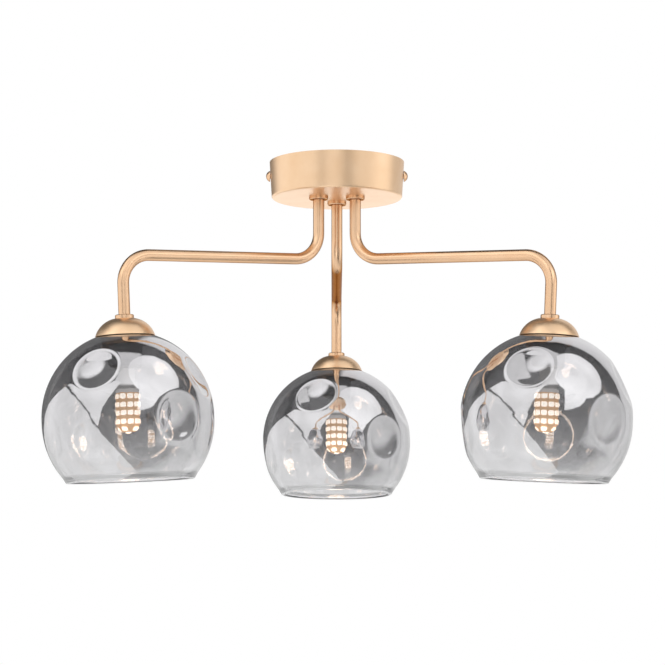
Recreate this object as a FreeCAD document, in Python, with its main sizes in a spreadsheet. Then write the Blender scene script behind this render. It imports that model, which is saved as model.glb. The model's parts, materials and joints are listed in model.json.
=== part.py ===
import FreeCAD, Part
import Sketcher
import math
import os

# A semi flush ceiling light: a drawn canopy carries three bent tubes, and each tube ends in a cup
# with a dimpled glass globe, open at the bottom, round a G9 lamp.
# Millimetres and degrees. The ceiling is the plane z = 0 and everything hangs below it.
# Canopy pieces are drawn in the light's own frame, and pendant pieces in the pendant's frame:
# x points away from the canopy, z runs up the drop tube, and z = 0 is the rim of the metal cup.

V = FreeCAD.Vector

# Driving dimensions: name, value, what it is.
DRIVING_SIZES = [
    # arms
    ("first_arm_angle", 90.0, "direction of the rear arm, from +X"),
    ("arm_spacing", 120.0, "angle between arms"),
    ("tube_circle", 19.0, "radius of the circle on which the tubes leave the canopy"),
    ("tube_radius", 5.0, "M10x1 lamp tube, outside"),
    ("tube_wall", 1.0, "wall of the tube"),
    ("run_depth", 90.0, "ceiling to the corner above the run, at the tube's axis"),
    ("run_length", 193.0, "corner to corner along the run"),
    ("run_fall", 3.0, "fall of the run away from the canopy"),
    ("bend_radius", 25.0, "centreline radius of both bends"),
    ("drop_length", 70.0, "corner above the drop to the cup's rim"),
    ("bolting_gap", 0.1, "between a tube and the holes it passes through"),
    # canopy
    ("canopy_radius", 61.0, "outside, at the ceiling"),
    ("canopy_draft", 2.0, "how much smaller the underside is, per side"),
    ("canopy_depth", 33.0, "ceiling to underside"),
    ("canopy_wall", 1.2, "sheet thickness"),
    ("canopy_corner", 2.0, "outside radius between side and underside"),
    ("collar_radius", 8.5, "thin collar against the underside"),
    ("collar_height", 2.7, "of that collar"),
    ("collar_edge", 0.6, "chamfer round the edge of a collar or ring that shows"),
    ("nut_flats", 14.0, "across the flats of an M10x1 lock nut"),
    ("nut_height", 3.0, "of that nut"),
    ("washer_radius", 8.0, "toothed washer under the nut"),
    ("washer_height", 1.0, "of that washer and of the earth tag that replaces it"),
    ("thread_end", 1.0, "how far a tube stands past its nut"),
    # bracket and its screws
    ("bracket_fit", 0.3, "between an ear's bottom corners and the canopy's inside"),
    ("bracket_width", 20.0, "of the strap"),
    ("bracket_plate", 2.0, "sheet thickness"),
    ("ear_drop", 24.0, "ceiling to the bottom of an ear"),
    ("ear_bend", 3.0, "outside radius of an ear's bend"),
    ("slot_spacing", 80.0, "between the two ceiling screw slots"),
    ("slot_radius", 2.6, "half the width of a slot"),
    ("slot_travel", 9.0, "distance between a slot's end centres"),
    ("cable_hole", 6.0, "radius of the hole for the house cable"),
    ("side_screw_depth", 12.5, "ceiling to the canopy screws' axis"),
    ("side_screw_radius", 2.0, "M4 shank"),
    ("side_screw_length", 8.0, "under the head"),
    ("side_head_radius", 5.0, "domed head"),
    ("side_head_height", 3.6, "of that head"),
    ("thread_gap", 0.05, "between a screw and its tapped hole"),
    ("clear_gap", 0.3, "between a screw and a plain hole, and round what moves"),
    # wiring space
    ("tab_width", 26.0, "of the bracket's tab for the terminal block"),
    ("tab_reach", 42.0, "centre to the end of that tab"),
    ("block_width", 26.0, "terminal block across its poles"),
    ("block_length", 22.0, "of the block along its wires"),
    ("block_height", 12.0, "of the block"),
    ("block_start", 18.0, "centre to the block's near face"),
    ("pole_spacing", 8.0, "between poles"),
    ("pole_half", 2.1, "half the width of a brass insert"),
    ("pole_bore", 1.5, "radius of an insert's wire hole"),
    ("pole_fit", 0.1, "between an insert and its channel"),
    ("clamp_radius", 1.5, "M3 terminal screw without a head"),
    ("block_screw_radius", 1.2, "screw that holds the block to the tab"),
    ("earth_x", -22.0, "earth screw along the strap"),
    ("earth_screw_radius", 2.0, "M4 earth screw"),
    ("earth_head_radius", 3.8, "its pan head"),
    ("earth_head_height", 2.4, "of that head"),
    ("earth_tag_plate", 0.8, "thickness of the upper tag"),
    ("earth_wire_radius", 1.4, "insulated earth wire"),
    ("earth_wire_x", -27.5, "where the earth wire rises"),
    ("flex_width", 4.8, "flat two core flex"),
    ("flex_height", 3.0, "of the flex, the thin way"),
    ("flex_bend", 6.0, "bend of the flex inside the canopy"),
    ("flex_level", 9.0, "ceiling to the flex where it enters the block"),
    # pendant
    ("cup_radius", 25.4, "metal cup at its rim"),
    ("cup_height", 15.0, "rim to the flat top"),
    ("cup_wall", 1.0, "sheet thickness"),
    ("cup_flat", 8.0, "radius of the flat top"),
    ("cup_shoulder", 21.0, "outside radius of the cup's side"),
    ("low_collar_radius", 8.0, "collar on top of the cup"),
    ("low_collar_height", 3.2, "of that collar"),
    ("sleeve_radius", 14.0, "threaded sleeve round the lampholder, outside"),
    ("sleeve_wall", 1.5, "of that sleeve"),
    ("sleeve_plate", 1.2, "its top plate, clamped under the cup"),
    ("sleeve_shoulder", 3.6, "height of the slope below that plate"),
    ("sleeve_end", 26.0, "cup rim to the sleeve's lower end"),
    ("flange_radius", 18.5, "sleeve's flange above the glass"),
    ("flange_height", 1.4, "of that flange"),
    ("gasket_height", 1.5, "silicone washer between flange and glass, at its bore"),
    ("gasket_radius", 18.2, "outside of that washer"),
    ("ring_radius", 20.0, "shade ring, outside"),
    ("ring_height", 7.0, "of the ring"),
    ("ring_fit", 0.08, "between the ring and the sleeve"),
    ("holder_radius", 10.5, "ceramic lampholder"),
    ("holder_rim", 12.4, "its flange inside the sleeve"),
    ("holder_rim_height", 3.0, "of that flange"),
    ("holder_face", 28.0, "cup rim to the lampholder's face"),
    ("holder_height", 30.0, "of the lampholder"),
    ("pin_spacing", 9.0, "G9 pins"),
    ("pin_width", 3.0, "of a pin's loop"),
    ("pin_wire", 1.0, "thickness of a pin"),
    ("pin_length", 6.0, "of a pin above the lamp's base"),
    ("contact_leaf", 0.5, "thickness of a contact's leaf"),
    ("contact_depth", 9.0, "of a contact"),
    ("contact_width", 4.0, "of a contact"),
    # lamp
    ("base_length", 14.0, "G9 base across its pins"),
    ("base_width", 10.0, "G9 base the other way"),
    ("base_height", 11.7, "of the base"),
    ("cap_radius", 9.0, "grey cap between base and board"),
    ("cap_height", 5.0, "of that cap"),
    ("lamp_flat", 9.6, "axis to a flat of the lamp's ten sided board"),
    ("lamp_sides", 10.0, "sides of that board"),
    ("row_count", 4.0, "rows of chips"),
    ("row_pitch", 7.1, "between rows"),
    ("row_start", 4.2, "top of the board to the first row"),
    ("chip_size", 4.4, "side of a square chip"),
    ("chip_height", 1.0, "how far a chip stands out"),
    ("lamp_nose", 5.5, "height of the tapered end"),
    ("nose_radius", 5.4, "radius of the flat at its tip"),
    # glass
    ("glass_radius", 72.8, "globe, outside"),
    ("glass_wall", 2.5, "of the glass"),
    ("glass_hole", 15.0, "radius of the hole at the top"),
    ("glass_band", 3.8, "height of the straight band at the globe's widest"),
    ("glass_rim", 52.6, "globe's centre to the open rim"),
    ("lip_height", 3.0, "of the thickened lip round the open rim"),
    ("lip_swell", 0.8, "how far the lip stands out"),
    ("dent_radius", 20.0, "radius of a dimple at its edge"),
    ("dent_depth", 6.0, "of a dimple, below the round of the globe"),
]

# Dimples: azimuth from the side that faces -Y towards +X, and height above the equator.
UPPER_DENTS = [(-20, 33), (75, 26), (162, 31), (-110, 29)]
LOWER_DENTS = [(41, -2), (-100, -9), (113, -11), (172, -9), (-146, -12)]

ARMS = ["rear", "left", "right"]


class Size:
    """A size as the sheet has it: its value now, and the expression that gives it."""

    def __init__(self, value, text=None):
        self.value = float(value)
        self.text = repr(float(value)) if text is None else text

    def __add__(self, other):
        return Size(self.value + size(other).value, "(%s + %s)" % (self.text, size(other).text))

    def __sub__(self, other):
        return Size(self.value - size(other).value, "(%s - %s)" % (self.text, size(other).text))

    def __mul__(self, other):
        return Size(self.value * size(other).value, "(%s * %s)" % (self.text, size(other).text))

    def __truediv__(self, other):
        return Size(self.value / size(other).value, "(%s / %s)" % (self.text, size(other).text))

    def __neg__(self):
        return Size(-self.value, "(0 - %s)" % self.text)

    __radd__ = __add__
    __rmul__ = __mul__

    def __rsub__(self, other):
        return size(other) - self


def size(value):
    return value if isinstance(value, Size) else Size(value)


def sine(angle):
    return Size(math.sin(math.radians(angle.value)), "sin(%s)" % angle.text)


def cosine(angle):
    return Size(math.cos(math.radians(angle.value)), "cos(%s)" % angle.text)


def tangent(angle):
    return Size(math.tan(math.radians(angle.value)), "tan(%s)" % angle.text)


def root(square):
    return Size(math.sqrt(square.value), "sqrt(%s)" % square.text)


class Dims:
    """The sheet's cells by name."""


doc = FreeCAD.newDocument("ceiling_light")
sheet = doc.addObject("Spreadsheet::Sheet", "Dims")
d = Dims()
for row, (name, value, note) in enumerate(DRIVING_SIZES, start=1):
    sheet.set("A%d" % row, str(value))
    sheet.set("B%d" % row, note)
    sheet.setAlias("A%d" % row, name)
    setattr(d, name, Size(value, "Dims.%s" % name))
doc.recompute()


# ---- helpers that draw with sizes -------------------------------------------------------------

class Place:
    """Where a piece stands: a point, then a turn about z and a tilt about the turned y."""

    def __init__(self, x=0, y=0, z=0, turn=0, tilt=0):
        self.x, self.y, self.z = size(x), size(y), size(z)
        self.turn, self.tilt = size(turn), size(tilt)

    def expression(self):
        point = "vector(%s; %s; %s)" % (self.x.text, self.y.text, self.z.text)
        turn = "rotation(%s; %s; 0)" % (self.turn.text, self.tilt.text)
        return "placement(%s; %s)" % (point, turn)

    def __add__(self, rise):
        """The same place, moved up along its own tilted z."""
        out = rise * sine(self.tilt)
        return Place(self.x + out * cosine(self.turn), self.y + out * sine(self.turn),
                     self.z + rise * cosine(self.tilt), self.turn, self.tilt)

    def placement(self):
        turn = FreeCAD.Rotation(self.turn.value, self.tilt.value, 0)
        return FreeCAD.Placement(V(self.x.value, self.y.value, self.z.value), turn)


def stand(thing, label, place):
    thing.Label = label
    thing.setExpression("Placement", place.expression())
    return thing


def origin_part(body, role):
    return [f for f in body.Origin.OriginFeatures if f.Role == role][0]


def new_sketch(body, role, offset=None):
    sketch = body.newObject("Sketcher::SketchObject", body.Name + "_sketch")
    sketch.AttachmentSupport = [(origin_part(body, role), "")]
    sketch.MapMode = "FlatFace"
    if offset is not None:
        sketch.setExpression("AttachmentOffset.Base.z", offset.text)
    return sketch


def pin_point(sketch, geometry, corner, point):
    """Fix one corner of the sketch to its place; a coordinate of 0 lies on the axis."""
    for kind, axis, value in (("DistanceX", -2, size(point[0])), ("DistanceY", -1, size(point[1]))):
        if value.text == "0.0":
            sketch.addConstraint(Sketcher.Constraint("PointOnObject", geometry, corner, axis))
        else:
            held = Sketcher.Constraint(kind, -1, 1, geometry, corner, value.value)
            number = sketch.addConstraint(held)
            sketch.setExpression("Constraints[%d]" % number, value.text)


def draw_outline(sketch, points, closed=True):
    """Lines and arcs through points. A third value is the radius of the arc that reaches that
    point: above 0 it turns left, below 0 it turns right."""
    first = len(sketch.Geometry)
    flat = [(size(p[0]).value, size(p[1]).value) for p in points]
    steps = range(0 if closed else 1, len(points))
    ends = []
    for step in steps:
        a, b = flat[step - 1], flat[step]
        if len(points[step]) == 2:
            sketch.addGeometry(Part.LineSegment(V(*a, 0), V(*b, 0)))
            ends.append((1, 2))
            continue
        bow = size(points[step][2]).value
        if bow < 0:
            a, b = b, a
        ends.append((1, 2) if bow > 0 else (2, 1))
        chord = math.dist(a, b)
        rise = math.sqrt(max(bow * bow - chord * chord / 4, 0)) / chord
        centre = ((a[0] + b[0]) / 2 - (b[1] - a[1]) * rise, (a[1] + b[1]) / 2 + (b[0] - a[0]) * rise)
        start = math.atan2(a[1] - centre[1], a[0] - centre[0])
        stop = math.atan2(b[1] - centre[1], b[0] - centre[0])
        circle = Part.Circle(V(*centre, 0), V(0, 0, 1), abs(bow))
        sketch.addGeometry(Part.ArcOfCircle(circle, start, stop))
    for count, step in enumerate(steps):
        number = first + count
        if closed or count > 0:
            before = first + (count - 1) % len(ends)
            joint = Sketcher.Constraint("Coincident", before, ends[count - 1][1], number, ends[count][0])
            sketch.addConstraint(joint)
        pin_point(sketch, number, ends[count][1], points[step])
        if not closed and count == 0:
            pin_point(sketch, number, ends[0][0], points[0])
        if len(points[step]) == 3:
            radius = size(points[step][2])
            shown = radius if radius.value > 0 else -radius
            held = sketch.addConstraint(Sketcher.Constraint("Radius", number, shown.value))
            sketch.setExpression("Constraints[%d]" % held, shown.text)
    return sketch


def draw_circle(sketch, x, y, radius):
    x, y, radius = size(x), size(y), size(radius)
    number = sketch.addGeometry(Part.Circle(V(x.value, y.value, 0), V(0, 0, 1), radius.value))
    pin_point(sketch, number, 3, (x, y))
    held = sketch.addConstraint(Sketcher.Constraint("Radius", number, radius.value))
    sketch.setExpression("Constraints[%d]" % held, radius.text)


def draw_box(sketch, left, bottom, right, top):
    draw_outline(sketch, [(left, bottom), (right, bottom), (right, top), (left, top)])


def draw_slot(sketch, x, y, half_travel, radius):
    """A slot along x: two lines and four quarter arcs."""
    x, y, travel, radius = size(x), size(y), size(half_travel), size(radius)
    left, right = x - travel, x + travel
    draw_outline(sketch, [(left, y - radius, radius), (right, y - radius),
                          (right + radius, y, radius), (right, y + radius, radius),
                          (left, y + radius), (left - radius, y, radius)])


def new_body(label):
    return doc.addObject("PartDesign::Body", label)


def turn_profile(body, points, kind="PartDesign::Revolution"):
    sketch = draw_outline(new_sketch(body, "XZ_Plane"), points)
    turned = body.newObject(kind, body.Name + "_turn")
    turned.Profile = sketch
    turned.ReferenceAxis = (sketch, ["V_Axis"])
    turned.Angle = 360
    return turned


def turned_piece(label, points, place):
    body = new_body(label)
    turn_profile(body, points)
    return stand(body, label, place)


def pad(body, sketch, length, midplane=False, reverse=False):
    feature = body.newObject("PartDesign::Pad", body.Name + "_pad")
    feature.Profile = sketch
    feature.setExpression("Length", size(length).text)
    feature.Midplane = midplane
    feature.Reversed = reverse
    return feature


def pocket(body, sketch, length=None, midplane=False, reverse=False):
    """Cuts to a depth, or through all when no length is given."""
    feature = body.newObject("PartDesign::Pocket", body.Name + "_pocket")
    feature.Profile = sketch
    if length is None:
        feature.Type = "ThroughAll"
    else:
        feature.setExpression("Length", size(length).text)
    feature.Midplane = midplane
    feature.Reversed = reverse
    return feature


def polar(body, features, count):
    pattern = body.newObject("PartDesign::PolarPattern", body.Name + "_ring")
    pattern.Originals = features
    pattern.Axis = (origin_part(body, "Z_Axis"), [""])
    pattern.Angle = 360
    pattern.setExpression("Occurrences", size(count).text)
    body.Tip = pattern
    return pattern


def washer_points(inner, outer, low, high):
    """Section of a flat ring."""
    return [(inner, low), (outer, low), (outer, high), (inner, high)]


def hex_nut(label, across_flats, height, bore, low, place):
    body = new_body(label)
    sketch = new_sketch(body, "XY_Plane", size(low))
    corner = size(across_flats) / root(Size(3.0))
    half = size(across_flats) / 2
    draw_outline(sketch, [(corner, 0), (corner / 2, half), (-corner / 2, half), (-corner, 0),
                          (-corner / 2, -half), (corner / 2, -half)])
    draw_circle(sketch, 0, 0, bore)
    pad(body, sketch, height)
    return stand(body, label, place)


def loose_box(left, front, bottom, length, width, height):
    thing = doc.addObject("Part::Box", "block")
    for name, value in (("Length", length), ("Width", width), ("Height", height)):
        thing.setExpression(name, size(value).text)
    thing.setExpression("Placement", Place(left, front, bottom).expression())
    return thing


def loose_cylinder(x, y, bottom, radius, height, turn=0, tilt=0):
    thing = doc.addObject("Part::Cylinder", "rod")
    thing.setExpression("Radius", size(radius).text)
    thing.setExpression("Height", size(height).text)
    thing.setExpression("Placement", Place(x, y, bottom, turn, tilt).expression())
    return thing


def cut_away(base, tool):
    thing = doc.addObject("Part::Cut", "cut")
    thing.Base, thing.Tool = base, tool
    return thing


def joined(parts):
    thing = doc.addObject("Part::MultiFuse", "joined")
    thing.Shapes = parts
    return thing


def together(label, parts, place):
    """Several solids that one node holds."""
    thing = doc.addObject("Part::Compound", label)
    thing.Links = parts
    return stand(thing, label, place)


# ---- the arms and what holds them -------------------------------------------------------------

underside = -d.canopy_depth
floor_top = underside + d.canopy_wall
nut_low = floor_top + d.washer_height
tube_top = nut_low + d.nut_height + d.thread_end
first_bend = 90 - d.run_fall

# pendant frame, from the corner where run and drop meet
fall_x, fall_z = cosine(d.run_fall), sine(d.run_fall)
corner_x = d.tube_circle + d.run_length * fall_x
corner_z = -d.run_depth - d.run_length * fall_z
pendant_x = corner_x - d.drop_length * fall_z
pendant_z = corner_z - d.drop_length * fall_x

low_nut = d.cup_height - d.cup_wall - d.sleeve_plate - d.nut_height
tube_foot = low_nut - d.thread_end


def arm_angle(number):
    return d.first_arm_angle + d.arm_spacing * number


def on_circle(radius, angle, z=0):
    return Place(radius * cosine(angle), radius * sine(angle), z, angle)


def pendant_place(number):
    angle = arm_angle(number)
    return Place(pendant_x * cosine(angle), pendant_x * sine(angle), pendant_z, angle, d.run_fall)


def arm_tube(arm, number):
    """Plumb end, bend, run, bend and drop, bent from one thin walled tube."""
    body = new_body(arm + "_arm_tube")
    setback = d.bend_radius * tangent(first_bend / 2)
    low_setback = d.bend_radius
    to_foot = d.drop_length - tube_foot
    path = draw_outline(new_sketch(body, "XZ_Plane"), [
        (d.tube_circle, tube_top),
        (d.tube_circle, setback - d.run_depth),
        (d.tube_circle + setback * fall_x, -d.run_depth - setback * fall_z, d.bend_radius),
        (corner_x - low_setback * fall_x, corner_z + low_setback * fall_z),
        (corner_x - low_setback * fall_z, corner_z - low_setback * fall_x, -d.bend_radius),
        (corner_x - to_foot * fall_z, corner_z - to_foot * fall_x)], closed=False)
    section = new_sketch(body, "XY_Plane", tube_top)
    draw_circle(section, d.tube_circle, 0, d.tube_radius)
    draw_circle(section, d.tube_circle, 0, d.tube_radius - d.tube_wall)
    pipe = body.newObject("PartDesign::AdditivePipe", body.Name + "_bent")
    pipe.Profile = section
    pipe.Spine = (path, [])
    stand(body, arm + "_arm_tube", Place(turn=arm_angle(number)))


def canopy_fixings(arm, number):
    """Collar under the canopy, and a toothed washer and lock nut inside it."""
    spot = on_circle(d.tube_circle, arm_angle(number))
    bore = d.tube_radius + d.bolting_gap
    low = underside - d.collar_height
    collar = [(bore, low), (d.collar_radius - d.collar_edge, low),
              (d.collar_radius, low + d.collar_edge), (d.collar_radius, underside), (bore, underside)]
    turned_piece(arm + "_top_collar", collar, spot)
    nut = hex_nut(arm + "_nut", d.nut_flats, d.nut_height, bore, nut_low, Place())
    parts = [nut]
    if arm != "left":
        washer = washer_points(bore, d.washer_radius, floor_top, nut_low)
        parts.append(turned_piece(arm + "_washer", washer, Place()))
    together(arm + "_top_nut", parts, spot)


def cup_pieces(arm, place):
    """Collar, cup, threaded sleeve and lock nut, clamped on the foot of the tube."""
    bore = d.tube_radius + d.bolting_gap
    top = d.cup_height + d.low_collar_height
    collar = [(bore, d.cup_height), (d.low_collar_radius, d.cup_height),
              (d.low_collar_radius, top - d.collar_edge), (d.low_collar_radius - d.collar_edge, top),
              (bore, top)]
    turned_piece(arm + "_low_collar", collar, place)

    inside = d.cup_shoulder - d.cup_wall
    turned_piece(arm + "_cup", [
        (d.cup_radius, 0),
        (d.cup_flat, d.cup_height, d.cup_shoulder),
        (bore, d.cup_height),
        (bore, d.cup_height - d.cup_wall),
        (d.cup_flat, d.cup_height - d.cup_wall),
        (d.cup_radius - d.cup_wall, 0, -inside)], place)

    hex_nut(arm + "_cup_nut", d.nut_flats, d.nut_height, bore, low_nut, place)

    plate_top = d.cup_height - d.cup_wall
    bore_radius = d.sleeve_radius - d.sleeve_wall
    shoulder = plate_top - d.sleeve_shoulder
    turned_piece(arm + "_sleeve", [
        (bore, plate_top - d.sleeve_plate),
        (d.cup_flat + d.clear_gap, plate_top - d.sleeve_plate),
        (bore_radius, shoulder - d.clear_gap),
        (bore_radius, -d.sleeve_end),
        (d.sleeve_radius, -d.sleeve_end),
        (d.sleeve_radius, flange_low),
        (d.flange_radius, flange_low),
        (d.flange_radius, flange_low + d.flange_height),
        (d.sleeve_radius, flange_low + d.flange_height),
        (d.sleeve_radius, shoulder),
        (d.cup_flat - d.clear_gap, plate_top),
        (bore, plate_top)], place)


# ---- glass, washer and ring -------------------------------------------------------------------

cup_mouth = d.cup_radius - d.cup_wall
glass_z = -root(d.glass_radius * d.glass_radius - cup_mouth * cup_mouth) - d.clear_gap


def over_glass(radius, ball=None):
    """Height of the globe's surface at a radius from the axis."""
    ball = d.glass_radius if ball is None else ball
    return glass_z + root(ball * ball - radius * radius)


gasket_bore = d.sleeve_radius + d.ring_fit
flange_low = over_glass(gasket_bore) + d.clear_gap + d.gasket_height


def seat_pieces(arm, place):
    """Soft washer above the glass, and the ring that is screwed up against it from inside."""
    turned_piece(arm + "_gasket", [
        (gasket_bore, over_glass(gasket_bore) + d.clear_gap),
        (d.gasket_radius, over_glass(d.gasket_radius) + d.clear_gap),
        (d.gasket_radius, flange_low),
        (gasket_bore, flange_low)], place)

    ball = d.glass_radius - d.glass_wall
    bore = d.sleeve_radius + d.ring_fit
    top_in = over_glass(d.glass_hole, ball) - d.clear_gap
    top_out = over_glass(d.ring_radius, ball) - d.clear_gap
    low = top_in - d.ring_height
    turned_piece(arm + "_shade_ring", [
        (bore, low),
        (d.ring_radius - d.collar_edge, low),
        (d.ring_radius, low + d.collar_edge),
        (d.ring_radius, top_out),
        (d.glass_hole, top_in),
        (bore, top_in)], place)


def revolved(edges):
    return Part.Face(Part.Wire(edges)).revolve(V(0, 0, 0), V(0, 0, 1), 360)


def straight(start, end):
    return Part.makeLine(V(start[0], 0, start[1]), V(end[0], 0, end[1]))


def arc_about(centre, start, end):
    """The shorter arc about a centre in the xz plane."""
    radius = math.dist(centre, start)
    a = math.atan2(start[1] - centre[1], start[0] - centre[0])
    b = math.atan2(end[1] - centre[1], end[0] - centre[0])
    if b - a > math.pi:
        b -= 2 * math.pi
    if a - b > math.pi:
        b += 2 * math.pi
    middle = (a + b) / 2
    through = (centre[0] + radius * math.cos(middle), centre[1] + radius * math.sin(middle))
    return Part.Arc(V(start[0], 0, start[1]), V(through[0], 0, through[1]),
                    V(end[0], 0, end[1])).toShape()


def dented_form(ball, offset, turn):
    """Solid of a globe about the origin: a ball with a short straight band at its widest, and a
    round dish sunk into it for each dimple. An offset moves every surface inwards."""
    ball = ball - offset
    band, rim_low = d.glass_band.value, d.glass_rim.value
    below = rim_low - band
    rim = math.sqrt(ball ** 2 - below ** 2)
    form = revolved([straight((0, -rim_low), (0, ball)),
                     arc_about((0, 0), (0, ball), (ball, 0)),
                     straight((ball, 0), (ball, -band)),
                     arc_about((0, -band), (ball, -band), (rim, -rim_low)),
                     straight((rim, -rim_low), (0, -rim_low))])
    outside, edge = d.glass_radius.value, d.dent_radius.value
    depth = d.dent_depth.value - outside + math.sqrt(outside ** 2 - edge ** 2)
    dish = (edge ** 2 + depth ** 2) / (2 * depth)
    reach = outside - d.dent_depth.value + dish
    cuts = []
    for dents, drop in ((UPPER_DENTS, 0), (LOWER_DENTS, band / 2)):
        for azimuth, height in dents:
            east, up = math.radians(azimuth - turn), math.radians(height)
            toward = V(math.sin(east) * math.cos(up), -math.cos(east) * math.cos(up), math.sin(up))
            cuts.append(Part.makeSphere(dish + offset, toward * reach - V(0, 0, drop)))
    return form.cut(cuts), rim


def glass_shade(arm, number, place):
    """The open globe, with its dimples facing the same way on every arm."""
    wall, ball = d.glass_wall.value, d.glass_radius.value
    turn = arm_angle(number).value
    outer, rim = dented_form(ball, 0, turn)
    inner, inner_rim = dented_form(ball, wall, turn)
    hole = Part.makeCylinder(d.glass_hole.value, wall * 4, V(0, 0, ball - wall * 3))
    low = V(0, 0, -d.glass_rim.value)
    lip = Part.makeCylinder(rim + d.lip_swell.value, d.lip_height.value, low)
    lip = lip.cut(Part.makeCylinder(inner_rim, d.lip_height.value, low))
    thing = doc.addObject("Part::Feature", arm + "_glass_shade")
    thing.Shape = outer.cut(inner).cut(hole).fuse(lip)
    thing.Label = arm + "_glass_shade"
    thing.Placement = (place + glass_z).placement()


# ---- lampholder and lamp ----------------------------------------------------------------------

holder_low = -d.holder_face
pin_half = d.pin_spacing / 2
contact_gap = d.pin_wire / 2 + d.clear_gap + 0.05
contact_half = contact_gap + d.contact_leaf
slot_half = contact_half + d.bolting_gap
pin_top = holder_low - d.clear_gap + d.pin_length
contact_low = holder_low + 1
contact_top = contact_low + d.contact_depth


def lampholder(arm, place):
    """Ceramic body with a flange in the sleeve's mouth and a slot for each contact."""
    body = new_body(arm + "_lampholder")
    turn_profile(body, [
        (0, holder_low),
        (d.holder_rim, holder_low),
        (d.holder_rim, holder_low + d.holder_rim_height),
        (d.holder_radius, holder_low + d.holder_rim_height),
        (d.holder_radius, holder_low + d.holder_height),
        (0, holder_low + d.holder_height)])
    slots = new_sketch(body, "XY_Plane", holder_low)
    reach = d.contact_width / 2 + d.bolting_gap
    for side in (-1, 1):
        centre = pin_half * side
        draw_box(slots, centre - slot_half, -reach, centre + slot_half, reach)
    doc.recompute()
    pocket(body, slots, contact_top - holder_low + d.bolting_gap, reverse=True)
    stand(body, arm + "_lampholder", place)

    clips = []
    reach = d.contact_width / 2
    for side in (-1, 1):
        clip = new_body(arm + "_contact")
        centre = pin_half * side
        sketch = draw_outline(new_sketch(clip, "XZ_Plane"), [
            (centre - contact_half, contact_low),
            (centre - contact_gap, contact_low),
            (centre - contact_gap, contact_top - d.contact_leaf),
            (centre + contact_gap, contact_top - d.contact_leaf),
            (centre + contact_gap, contact_low),
            (centre + contact_half, contact_low),
            (centre + contact_half, contact_top),
            (centre - contact_half, contact_top)])
        pad(clip, sketch, reach * 2, midplane=True)
        clips.append(clip)
    together(arm + "_contacts", clips, place)


def lamp(arm, place):
    """G9 lamp: base with two looped pins, grey cap, and a ten sided board of chips."""
    base_top = holder_low - d.clear_gap
    base_low = base_top - d.base_height
    board_top = base_low - d.cap_height

    body = new_body(arm + "_lamp_base")
    sketch = new_sketch(body, "XY_Plane", base_low)
    draw_slot(sketch, 0, 0, (d.base_length - d.base_width) / 2, d.base_width / 2)
    pad(body, sketch, d.base_height)
    cap = new_sketch(body, "XY_Plane", board_top)
    draw_circle(cap, 0, 0, d.cap_radius)
    pad(body, cap, d.cap_height)
    stand(body, arm + "_lamp_base", place)

    pins = []
    for side in (-1, 1):
        pin = new_body(arm + "_pin")
        sketch = new_sketch(pin, "YZ_Plane", pin_half * side - d.pin_wire / 2)
        half = d.pin_width / 2
        draw_outline(sketch, [(-half, base_top), (half, base_top), (half, pin_top - half),
                              (0, pin_top, half), (-half, pin_top - half, half)])
        eye = half - d.pin_wire * 0.8
        draw_outline(sketch, [(-eye, base_top + 1), (eye, base_top + 1), (eye, pin_top - half),
                              (0, pin_top - half + eye, eye), (-eye, pin_top - half, eye)])
        pad(pin, sketch, d.pin_wire)
        pins.append(pin)
    together(arm + "_lamp_pins", pins, place)

    board = new_body(arm + "_lamp_board")
    half_side = Size(180.0) / d.lamp_sides
    corner = d.lamp_flat / cosine(half_side)
    points = []
    for side in range(int(d.lamp_sides.value)):
        angle = half_side * (2 * side + 1)
        points.append((corner * cosine(angle), corner * sine(angle)))
    board_low = board_top - d.row_start * 2 - d.row_pitch * (d.row_count - 1)
    core = draw_outline(new_sketch(board, "XY_Plane", board_low), points)
    pad(board, core, board_top - board_low)
    rows = new_sketch(board, "YZ_Plane", d.lamp_flat - d.bolting_gap)
    half = d.chip_size / 2
    for row in range(int(d.row_count.value)):
        z = board_top - d.row_start - d.row_pitch * row
        draw_box(rows, -half, z - half, half, z + half)
    chips = pad(board, rows, d.chip_height + d.bolting_gap)
    polar(board, [chips], d.lamp_sides)
    doc.recompute()
    turn_profile(board, [
        (0, board_low - d.lamp_nose),
        (d.nose_radius, board_low - d.lamp_nose),
        (d.lamp_flat, board_low),
        (d.lamp_flat, board_low + d.bolting_gap),
        (0, board_low + d.bolting_gap)])
    tip = new_sketch(board, "XY_Plane", board_low - d.lamp_nose)
    draw_box(tip, -half, -half, half, half)
    pad(board, tip, d.chip_height, reverse=True)
    stand(board, arm + "_lamp_board", place)


# ---- canopy, bracket and wiring ---------------------------------------------------------------

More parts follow.
